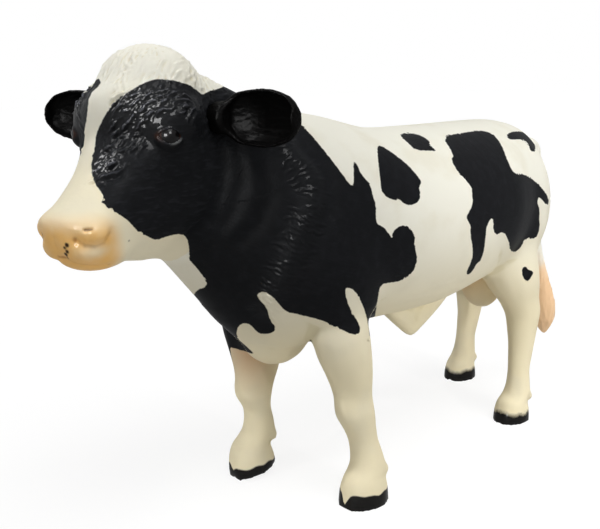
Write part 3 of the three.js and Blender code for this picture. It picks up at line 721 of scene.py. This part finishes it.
class Value:
    """A socket in a material's node tree. Sums on it add Math nodes, and node() adds any other node."""

    def __init__(self, tree, socket=None):
        self.tree = tree
        self.socket = socket

    def node(self, kind, settings, inputs, output=0):
        made = self.tree.nodes.new(kind)
        for name, setting in settings.items():
            setattr(made, name, setting)
        for name, value in inputs.items():
            if isinstance(value, Value):
                self.tree.links.new(value.socket, made.inputs[name])
            else:
                made.inputs[name].default_value = value
        return Value(self.tree, made.outputs[output])

    def maths(self, operation, first, second):
        return self.node("ShaderNodeMath", {"operation": operation}, {0: first, 1: second})

    def __add__(self, other):
        return self.maths("ADD", self, other)

    def __sub__(self, other):
        return self.maths("SUBTRACT", self, other)

    def __rsub__(self, other):
        return self.maths("SUBTRACT", other, self)

    def __mul__(self, other):
        return self.maths("MULTIPLY", self, other)

    __radd__ = __add__
    __rmul__ = __mul__

    def step(self, low, high):
        """0 below low and 1 above high, eased between."""
        settings = {"interpolation_type": "SMOOTHSTEP"}
        return self.node("ShaderNodeMapRange", settings, {"Value": self, "From Min": low, "From Max": high})

    def field(self, name, output="Fac"):
        return self.node("ShaderNodeAttribute", {"attribute_name": name}, {}, output)

    def noise(self, vector, scale, detail=2.0):
        inputs = {"Vector": vector, "Scale": scale, "Detail": detail}
        return self.node("ShaderNodeTexNoise", {}, inputs, "Fac")

    def blend(self, share, first, second):
        """The first colour, turning into the second by a share."""
        return self.node("ShaderNodeMix", {"data_type": "RGBA"}, {0: share, 6: first, 7: second}, 2)


def linear(red, green, blue):
    """A colour as it is seen on a screen, 0 to 255, as the linear colour of a shader socket."""
    parts = [part / 255 for part in (red, green, blue)]
    return [part / 12.92 if part <= 0.04045 else ((part + 0.055) / 1.055) ** 2.4 for part in parts] + [1.0]


def new_finish(name, constants):
    """A material with a Principled shader whose even values are set on its sockets."""
    material = bpy.data.materials.new(name)
    material.use_nodes = True
    shader = material.node_tree.nodes["Principled BSDF"]
    for socket, value in constants.items():
        shader.inputs[socket].default_value = value
    return material, Value(material.node_tree), shader


def feed(value, shader, socket):
    value.tree.links.new(value.socket, shader.inputs[socket])


def bump(value, height, strength, distance):
    inputs = {"Strength": strength, "Distance": distance * MM, "Height": height}
    return value.node("ShaderNodeBump", {}, inputs, "Normal")


# Coat paint: colours as seen, patterns in cells to the millimetre, edges, rises and depths in millimetres
WHITE_PAINT = linear(242, 240, 227)
CREAM_PVC = linear(238, 227, 194)
GREYED_WHITE = linear(226, 219, 196)
BLACK_PAINT = linear(25, 26, 28)
BLACK_WORN = linear(33, 34, 37)
# Painted highlight: pale grey on the crests of the wet strands, where glints would be
CREST_HIGHLIGHT = linear(100, 101, 109)
HAIR_GREY = linear(44, 45, 49)
# Painted shade: the white is darkened in the skin's grooves and hollows
GROOVE_SHADE = linear(206, 194, 150)
PEACH_PAINT = linear(237, 187, 112)
# Painted highlight: paler peach on the muzzle's raised parts
PEACH_HIGHLIGHT = linear(248, 216, 158)
# Painted shade: umber in the muzzle's hollows and at the top of the right foreleg
UMBER_SHADE = linear(152, 93, 39)
BLUSH_PAINT = linear(232, 188, 126)
LID_BROWN = linear(58, 34, 24)
HOOF_BLACK = linear(22, 21, 20)
SPECK_BROWN = linear(58, 40, 24)
# Painted highlight: pale grey along the lower lid's rim
RIM_HIGHLIGHT = linear(120, 122, 122)
MOTTLE_CELLS = 0.12
CLOUD_CELLS = 0.5
RAGGED_CELLS = 0.2
WOBBLE_CELLS = 1.3
GRAIN_CELLS = 2.5
BODY_LAY = (2.6, 0.35, 1.0)
HEAD_LAY = (1.6 / MM, 0.35 / MM, 1.6 / MM)
HEAD_LAY_TURN = (math.radians(36), 0, 0)
HEAD_BLEND = (-3.0, 3.0)
RAGGED = (0.5, 0.7)
PATCH_EDGE = (-0.1, 0.1)
HOOF_EDGE = (-0.15, 0.15)
SPECK_EDGE = (-0.2, 0.15)
CREST_RISE = (0.1, 0.24)
GROOVE_DEPTH = (0.02, 0.1)
MUZZLE_RISE = (0.02, 0.2)
MUZZLE_DEPTH = (0.0, 0.09)
MOTTLED = (0.45, 0.75)
WORN = (0.4, 0.8)
HAIR_TIPS = (0.5, 0.72)
EVEN_WOBBLE = 0.25
RAGGED_WOBBLE = 0.9
HOOF_WOBBLE = 0.4
SPECK_WOBBLE = 0.5
GREYED_SHARE = 0.35
GROOVE_SHADE_SHARE = 0.35
UMBER_SHADE_SHARE = 0.9
PEACH_SHARE = 0.8
PEACH_CLOUD = 0.4
WORN_SHARE = 0.5
BODY_TIPS = 0.08
HEAD_TIPS = 0.32
COAT_ROUGHNESS = 0.5
GRAIN_ROUGHNESS = 0.12
BLACK_SMOOTHER = 0.06
HOOF_SMOOTHER = 0.2
WET_SHINE = 0.26
HOOF_SHINE = 0.15
FACE_SHINE = 0.02
PEACH_SHINE = 0.12
RIM_SHINE = 0.3
WHITE_HAIR = 0.15
BLACK_HAIR = 0.25
BLACK_HEAD_HAIR = 0.6
GRAIN_RELIEF = 0.12
BUMP_STRENGTH = 0.6
BUMP_HEIGHT = 0.24


def coat_finish():
    material, value, shader = new_finish("coat", {"Specular IOR Level": 0.015, "Coat Roughness": 0.06})
    here = value.node("ShaderNodeTexCoord", {}, {}, "Object")
    mottle = value.noise(here, MOTTLE_CELLS / MM, detail=4.0)
    cloud = value.noise(here, CLOUD_CELLS / MM, detail=3.0)
    grain = value.noise(here, GRAIN_CELLS / MM)
    ragged = value.noise(here, RAGGED_CELLS / MM, detail=1.0).step(*RAGGED)
    wobble = value.noise(here, WOBBLE_CELLS / MM, detail=3.0) - 0.5
    wobble = wobble * (EVEN_WOBBLE + ragged * RAGGED_WOBBLE)
    wet = value.field("wet")
    peach = value.field("peach")
    rim = value.field("rim")
    hollow = value.field("hollow")
    rise = hollow * -1
    on_head = value.field("ahead").step(*HEAD_BLEND)
    black = (value.field("black") + wobble).step(*PATCH_EDGE)
    hoof = (value.field("hoof") + wobble * HOOF_WOBBLE).step(*HOOF_EDGE)
    speck = (value.field("speck") + wobble * SPECK_WOBBLE).step(*SPECK_EDGE)
    lay = value.node("ShaderNodeMapping", {}, {"Vector": value.field("lay", "Vector"), "Scale": BODY_LAY})
    head_turn = {"Vector": here, "Rotation": HEAD_LAY_TURN, "Scale": HEAD_LAY}
    head_lay = value.node("ShaderNodeMapping", {}, head_turn)
    hair = value.noise(lay, 1.0) * (1 - on_head) + value.noise(head_lay, 1.0) * on_head
    white = value.blend(value.field("cream"), WHITE_PAINT, CREAM_PVC)
    white = value.blend(mottle.step(*MOTTLED) * GREYED_SHARE, white, GREYED_WHITE)
    # Painted shade in the hollows of the white
    white = value.blend(hollow.step(*GROOVE_DEPTH) * GROOVE_SHADE_SHARE, white, GROOVE_SHADE)
    # Painted highlight on the muzzle's raised parts
    muzzle = value.blend(rise.step(*MUZZLE_RISE), PEACH_PAINT, PEACH_HIGHLIGHT)
    # Painted shade: umber in the muzzle's hollows, under the nostril knobs and between the lips
    muzzle = value.blend(hollow.step(*MUZZLE_DEPTH) * UMBER_SHADE_SHARE, muzzle, UMBER_SHADE)
    white = value.blend(peach * (PEACH_SHARE + cloud * PEACH_CLOUD), white, muzzle)
    white = value.blend(value.field("blush"), white, BLUSH_PAINT)
    # Brown paint and painted shade at the right foreleg's top
    white = value.blend(value.field("shade"), white, UMBER_SHADE)
    dark = value.blend(cloud.step(*WORN) * WORN_SHARE, BLACK_PAINT, BLACK_WORN)
    tips = hair.step(*HAIR_TIPS) * (BODY_TIPS + on_head * HEAD_TIPS) * (1 - wet)
    dark = value.blend(tips, dark, HAIR_GREY)
    # Painted highlight on the crests of the wet strands
    dark = value.blend(rise.step(*CREST_RISE) * wet, dark, CREST_HIGHLIGHT)
    dark = value.blend(value.field("lid"), dark, LID_BROWN)
    # Painted highlight along the lower lid's rim
    dark = value.blend(rim, dark, RIM_HIGHLIGHT)
    colour = value.blend(black, white, dark)
    colour = value.blend(hoof, colour, HOOF_BLACK)
    colour = value.blend(speck, colour, SPECK_BROWN)
    feed(colour, shader, "Base Color")
    roughness = COAT_ROUGHNESS + grain * GRAIN_ROUGHNESS - black * BLACK_SMOOTHER - hoof * HOOF_SMOOTHER
    feed(roughness, shader, "Roughness")
    shine = wet * black * WET_SHINE + hoof * HOOF_SHINE + (1 - black) * on_head * FACE_SHINE
    feed(shine + peach * PEACH_SHINE + rim * RIM_SHINE, shader, "Coat Weight")
    hair_height = WHITE_HAIR + black * (BLACK_HAIR + on_head * BLACK_HEAD_HAIR)
    relief = hair * hair_height + grain * GRAIN_RELIEF
    feed(bump(value, relief, BUMP_STRENGTH, BUMP_HEIGHT), shader, "Normal")
    return material


coat = coat_finish()

# The skin parts at the plugs: each face goes to the solid that it lies nearest to
SEAM_SEARCH = 46.0
node_trees = {}
for node in BODY_NODES:
    shape = bmesh.new()
    shape.from_mesh(frame["nodes"][node].data)
    node_trees[node] = BVHTree.FromBMesh(shape)
    shape.free()
skin = bmesh.new()
skin.from_mesh(skin_mesh)
ahead = skin.verts.layers.float["ahead"]
owner_names = []
for face in skin.faces:
    middle = face.calc_center_median()
    if sum(vert[ahead] for vert in face.verts) > 0:
        owner_names.append("head")
    elif middle.z > SEAM_SEARCH * MM:
        owner_names.append("torso")
    else:
        owner_names.append(min(
            (node for node in BODY_NODES if node != "head"),
            key=lambda node: node_trees[node].find_nearest(middle)[3],
        ))


def skin_piece(node):
    """The part of the skin that covers one node, closed at its plug, with the whole skin's shading."""
    part = skin.copy()
    part.faces.ensure_lookup_table()
    others = [face for face, owner in zip(part.faces, owner_names) if owner != node]
    bmesh.ops.delete(part, geom=others, context="FACES")
    loose = [vert for vert in part.verts if not vert.link_faces]
    bmesh.ops.delete(part, geom=loose, context="VERTS")
    rims = [edge for edge in part.edges if edge.is_boundary]
    bmesh.ops.holes_fill(part, edges=rims, sides=0)
    for face in part.faces:
        face.smooth = True
    mesh = bpy.data.meshes.new(node + "_skin")
    part.to_mesh(mesh)
    part.free()
    shading = np.empty(len(mesh.vertices) * 3, np.float32)
    mesh.attributes["skin_normal"].data.foreach_get("vector", shading)
    mesh.normals_split_custom_set_from_vertices(shading.reshape(-1, 3).tolist())
    mesh.attributes.remove(mesh.attributes["skin_normal"])
    piece = bpy.data.objects.new(node + "_skin", mesh)
    bpy.context.scene.collection.objects.link(piece)
    mesh.materials.append(coat)
    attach(piece, "figure")
    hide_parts(node)


for node in BODY_NODES:
    skin_piece(node)
skin.free()
bpy.data.meshes.remove(skin_mesh)

# Eyes
# Beads of glossy plastic, painted with a brown iris and a black pupil under clear varnish.
# They snap into the sockets under the lids.
IRIS = linear(34, 17, 10)
IRIS_LIGHT = linear(60, 30, 17)
EYE_BLACK = linear(10, 8, 8)
CORNEA_RISE = 0.10
CORNEA_EDGE = 0.75
IRIS_EDGE = (0.66, 0.72)
PUPIL_EDGE = (0.74, 0.82)
IRIS_CELLS = 2.0
BEAD_SIDES = 48
BEAD_RINGS = 32


def eye_finish(name, centre, gaze):
    constants = {"Roughness": 0.4, "Specular IOR Level": 0.03, "Coat Weight": 0.2, "Coat Roughness": 0.03}
    material, value, shader = new_finish(name, constants)
    here = value.node("ShaderNodeTexCoord", {}, {}, "Object")
    away = value.node("ShaderNodeVectorMath", {"operation": "SUBTRACT"}, {0: here, 1: centre}, "Vector")
    away = value.node("ShaderNodeVectorMath", {"operation": "NORMALIZE"}, {0: away}, "Vector")
    ahead = value.node("ShaderNodeVectorMath", {"operation": "DOT_PRODUCT"}, {0: away, 1: gaze}, "Value")
    iris = value.blend(value.noise(here, IRIS_CELLS / MM), IRIS, IRIS_LIGHT)
    colour = value.blend(ahead.step(*IRIS_EDGE), EYE_BLACK, iris)
    colour = value.blend(ahead.step(*PUPIL_EDGE), colour, EYE_BLACK)
    feed(colour, shader, "Base Color")
    return material


def eye_piece(node, flip):
    centre = Vector(eye_centres[node] * MM + figure_origin)
    gaze = (Matrix.Rotation(HEAD_TURN, 3, "Z") @ Vector(EYE_OUT * flip)).normalized()
    shape = bmesh.new()
    radius = EYE_RADIUS * MM
    bmesh.ops.create_uvsphere(shape, u_segments=BEAD_SIDES, v_segments=BEAD_RINGS, radius=radius)
    bmesh.ops.rotate(shape, verts=shape.verts, matrix=gaze.to_track_quat("Z", "Y").to_matrix())
    for vert in shape.verts:
        front = max(0.0, vert.co.normalized().dot(gaze) - CORNEA_EDGE) / (1 - CORNEA_EDGE)
        vert.co *= 1 + CORNEA_RISE * front * front
        vert.co += centre
    for face in shape.faces:
        face.smooth = True
    mesh = bpy.data.meshes.new(node + "_bead")
    shape.to_mesh(mesh)
    shape.free()
    piece = bpy.data.objects.new(node + "_bead", mesh)
    bpy.context.scene.collection.objects.link(piece)
    mesh.materials.append(eye_finish(node + "_varnish", centre, gaze))
    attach(piece, "figure")
    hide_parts(node)


for node, flip in zip(EYE_NODES, (np.ones(3), MIRROR)):
    eye_piece(node, flip)

# Ears
# Cups of soft PVC, moulded with low hair and sprayed glossy black inside and out.
# Each turns on a round plug in the head.
EAR_CELL = 0.25
EAR_ROUNDS = 6
EAR_HAIR = (130, 6.0, 0.3, 0.08, 0.2)
EAR_FLOW = (1.0, 0.15, 0.0)
EAR_BLACK = linear(9, 9, 9)
EAR_WORN = linear(13, 12, 12)
EAR_GRAIN_CELLS = 2.2
EAR_LAY = (0.25 / MM, 1.6 / MM, 1.6 / MM)
EAR_ROUGHNESS = (0.3, 0.15)
EAR_SHINE = (0.004, 0.012)
EAR_BUMP_STRENGTH = 0.5
EAR_BUMP_HEIGHT = 0.3


def ear_finish():
    material, value, shader = new_finish("ear_black", {"Specular IOR Level": 0.01, "Coat Roughness": 0.22})
    here = value.node("ShaderNodeTexCoord", {}, {}, "Object")
    grain = value.noise(here, EAR_GRAIN_CELLS / MM)
    feed(value.blend(grain, EAR_BLACK, EAR_WORN), shader, "Base Color")
    feed(EAR_ROUGHNESS[0] + grain * EAR_ROUGHNESS[1], shader, "Roughness")
    feed(EAR_SHINE[0] + grain * EAR_SHINE[1], shader, "Coat Weight")
    along = value.node("ShaderNodeMapping", {}, {"Vector": here, "Scale": EAR_LAY})
    hair = value.noise(along, 1.0)
    feed(bump(value, hair, EAR_BUMP_STRENGTH, EAR_BUMP_HEIGHT), shader, "Normal")
    return material


def soft_piece(node, cell, rounds, hair, flow, material, body):
    """A node's solid as a smooth moulding with raised hair along a flow."""
    mesh = skin_over(node + "_moulding", [node], cell, closing=0.0)
    everywhere = np.ones(len(mesh.vertices), bool)
    rub(mesh, everywhere, rounds)
    places = mesh_places(mesh)
    swell(mesh, strands(places, mesh_normals(mesh), everywhere, even_flow(places, flow), hair))
    mesh.shade_smooth()
    piece = bpy.data.objects.new(node + "_moulding", mesh)
    bpy.context.scene.collection.objects.link(piece)
    mesh.materials.append(material)
    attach(piece, body)
    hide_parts(node)


ear_black = ear_finish()
for node in ("left_ear", "right_ear"):
    soft_piece(node, EAR_CELL, EAR_ROUNDS, EAR_HAIR, EAR_FLOW, ear_black, node)

# Tail
# One PVC moulding: a white dock and switch that ends in a peach tuft of grooved hair.
# It swings on a round plug in the rump.
TAIL_CELL = 0.3
TAIL_ROUNDS = 14
TUFT_HAIR = (160, 9.0, 0.4, 0.2, 0.2)
TUFT_FLOW = (0.0, 0.15, -1.0)
TUFT_TOP = 34.0
TUFT_FADE = (-3, 6)
TUFT_RAGGED = 6.0
TUFT_PEACH = linear(246, 206, 162)
TAIL_MOTTLE_CELLS = 0.3
TAIL_LAY = (1.3 / MM, 1.3 / MM, 0.12 / MM)
TAIL_ROUGHNESS = (0.45, 0.15)
TAIL_BUMP_STRENGTH = 0.6
TAIL_BUMP_HEIGHT = 0.4


def tail_finish():
    material, value, shader = new_finish("tail_coat", {"Specular IOR Level": 0.3})
    here = value.node("ShaderNodeTexCoord", {}, {}, "Object")
    height = value.node("ShaderNodeSeparateXYZ", {}, {"Vector": here}, "Z")
    mottle = value.noise(here, TAIL_MOTTLE_CELLS / MM, detail=3.0)
    below = height * (-1 / MM) + mottle * TUFT_RAGGED
    share = below.step(TUFT_FADE[0] - TUFT_TOP, TUFT_FADE[1] - TUFT_TOP)
    feed(value.blend(share, WHITE_PAINT, TUFT_PEACH), shader, "Base Color")
    feed(TAIL_ROUGHNESS[0] + mottle * TAIL_ROUGHNESS[1], shader, "Roughness")
    along = value.node("ShaderNodeMapping", {}, {"Vector": here, "Scale": TAIL_LAY})
    hair = value.noise(along, 1.0)
    feed(bump(value, hair, TAIL_BUMP_STRENGTH, TAIL_BUMP_HEIGHT), shader, "Normal")
    return material


soft_piece("tail", TAIL_CELL, TAIL_ROUNDS, TUFT_HAIR, TUFT_FLOW, tail_finish(), "tail")

# Stage
# A white table under a soft overhead lamp, in an even white world.
# Narrow spots fill the shaded sides, and small windows show only in the gloss.
FLOOR_HALF = 3.0
FLOOR_WHITE = (1.0, 1.0, 1.0, 1.0)
FLOOR_GREY = (0.6, 0.59, 0.57, 1.0)
SHADOW_LIFT = 0.8
FLOOR_GLOW = 1.06
WORLD_LIGHT = 0.29
OVERHEAD_LIGHT = 1.69
OVERHEAD_PLACE = (0.42, -0.05, 1.0)
OVERHEAD_SPREAD = math.radians(36)
SPOTS = [
    ("side", 2.5, 25, (0.42, -0.02, 0.15), (0.01, 0.05, 0.02)),
    ("muzzle", 1.3, 8, (0.42, -0.1, 0.08), (0.005, -0.073, 0.054)),
    ("low", 2.1, 8, (0.08, -0.5, 0.05), (0, -0.03, 0.01)),
    ("high", 2.8, 12, (-0.08, -0.5, 0.5), (0, -0.065, 0.085)),
]
WINDOWS = [
    ("front_window", 6.0, 0.2, (0.16, -0.48, 0.17)),
    ("roof_window", 3.0, 0.12, (-0.15, -0.33, 0.5)),
    ("side_window", 3.4, 0.2, (0.38, -0.17, 0.39)),
]
WINDOW_AIM = (0, -0.06, 0.08)


def white_rays(value):
    """1 for the rays that show the background: camera, glossy and transmission rays."""
    names = ("Is Camera Ray", "Is Glossy Ray", "Is Transmission Ray")
    rays = [value.node("ShaderNodeLightPath", {}, {}, name) for name in names]
    return (rays[0] + rays[1] + rays[2]).step(0.0, 1.0)


def floor_stage():
    shape = bmesh.new()
    bmesh.ops.create_grid(shape, x_segments=1, y_segments=1, size=FLOOR_HALF)
    mesh = bpy.data.meshes.new("floor")
    shape.to_mesh(mesh)
    shape.free()
    floor = bpy.data.objects.new("floor", mesh)
    bpy.context.scene.collection.objects.link(floor)
    constants = {"Base Color": FLOOR_GREY, "Roughness": 1.0, "Specular IOR Level": 0.0}
    material, value, bounce = new_finish("table_white", constants)
    white = value.node("ShaderNodeBsdfDiffuse", {}, {"Color": FLOOR_WHITE})
    glow = value.node("ShaderNodeEmission", {}, {"Color": FLOOR_WHITE, "Strength": FLOOR_GLOW})
    shown = value.node("ShaderNodeMixShader", {}, {0: SHADOW_LIFT, 1: white, 2: glow})
    grey = Value(value.tree, bounce.outputs[0])
    surface = value.node("ShaderNodeMixShader", {}, {0: white_rays(value), 1: grey, 2: shown})
    feed(surface, material.node_tree.nodes["Material Output"], "Surface")
    mesh.materials.append(material)


def white_world():
    world = bpy.data.worlds.new("white")
    bpy.context.scene.world = world
    world.use_nodes = True
    value = Value(world.node_tree)
    background = world.node_tree.nodes["Background"]
    background.inputs["Color"].default_value = FLOOR_WHITE
    feed(WORLD_LIGHT + white_rays(value) * (1 - WORLD_LIGHT), background, "Strength")


def lamp(name, kind, energy, place, aim, **settings):
    data = bpy.data.lights.new(name, kind)
    data.energy = energy
    for setting, value in settings.items():
        setattr(data, setting, value)
    light = bpy.data.objects.new(name, data)
    bpy.context.scene.collection.objects.link(light)
    away = Vector(place) - Vector(aim)
    light.matrix_world = Matrix.LocRotScale(Vector(place), away.to_track_quat("Z", "Y"), None)
    return light


floor_stage()
white_world()
lamp("overhead", "SUN", OVERHEAD_LIGHT, OVERHEAD_PLACE, (0, 0, 0), angle=OVERHEAD_SPREAD)
for name, watts, cone, place, aim in SPOTS:
    lamp(name, "SPOT", watts, place, aim, spot_size=math.radians(cone), spot_blend=1.0)
for name, watts, size, place in WINDOWS:
    window = lamp(name, "AREA", watts, place, WINDOW_AIM, size=size)
    window.visible_diffuse = False
bpy.context.scene.view_settings.view_transform = "Standard"
